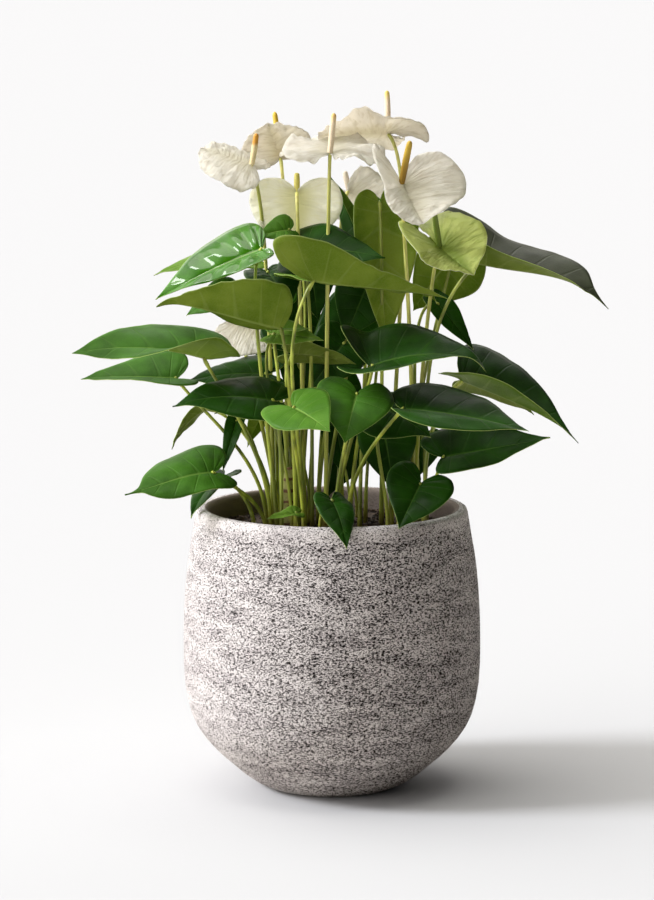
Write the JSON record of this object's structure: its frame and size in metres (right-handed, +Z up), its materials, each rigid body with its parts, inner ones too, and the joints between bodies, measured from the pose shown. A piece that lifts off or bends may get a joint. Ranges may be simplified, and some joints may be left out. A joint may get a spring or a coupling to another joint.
{
  "type": "potted anthurium",
  "caption": "Live flowering anthurium with heart-shaped leaves, white spathes and upright spadices, growing in a round-bellied pitted stone-look pot.",
  "frame": {"origin": "centre of the pot's flat underside, where it rests on the floor", "axes": "+Z up the pot's axis through the plant; +X to the right and -Y to the front, the side the plant shows its flowers to"},
  "size_m": [0.5312, 0.3192, 0.6981],
  "materials": {
    "pot_stone": "matte",
    "growing_medium": "matte",
    "crown": "matte",
    "leaf": "gloss",
    "flower_stem": "satin",
    "spathe": "satin",
    "spadix": "satin"
  },
  "bodies": {
    "root": {"pot": "pot_stone", "growing_medium": "growing_medium", "crown_left": "crown", "crown_right": "crown", "leaf_01": "leaf", "leaf_02": "leaf", "leaf_03": "leaf", "leaf_04": "leaf", "leaf_05": "leaf", "leaf_06": "leaf", "leaf_07": "leaf", "leaf_08": "leaf", "leaf_09": "leaf", "leaf_10": "leaf", "leaf_11": "leaf", "leaf_12": "leaf", "leaf_13": "leaf", "leaf_14": "leaf", "leaf_15": "leaf", "leaf_16": "leaf", "leaf_17": "leaf", "leaf_18": "leaf", "leaf_19": "leaf", "leaf_20": "leaf", "leaf_21": "leaf", "leaf_22": "leaf", "leaf_23": "leaf", "leaf_24": "leaf", "leaf_25": "leaf", "leaf_26": "leaf", "leaf_27": "leaf", "leaf_28": "leaf", "leaf_29": "leaf", "flower_stem_1": "flower_stem", "spathe_1": "spathe", "spadix_1": "spadix", "flower_stem_2": "flower_stem", "spathe_2": "spathe", "spadix_2": "spadix", "flower_stem_3": "flower_stem", "spathe_3": "spathe", "spadix_3": "spadix", "flower_stem_4": "flower_stem", "spathe_4": "spathe", "spadix_4": "spadix", "flower_stem_5": "flower_stem", "spathe_5": "spathe", "spadix_5": "spadix", "flower_stem_6": "flower_stem", "spathe_6": "spathe", "spadix_6": "spadix", "flower_stem_7": "flower_stem", "spathe_7": "spathe", "spadix_7": "spadix", "flower_stem_8": "flower_stem", "spathe_8": "spathe", "spadix_8": "spadix", "flower_stem_9": "flower_stem", "spathe_9": "spathe", "spadix_9": "spadix"}
  },
  "joints": []
}
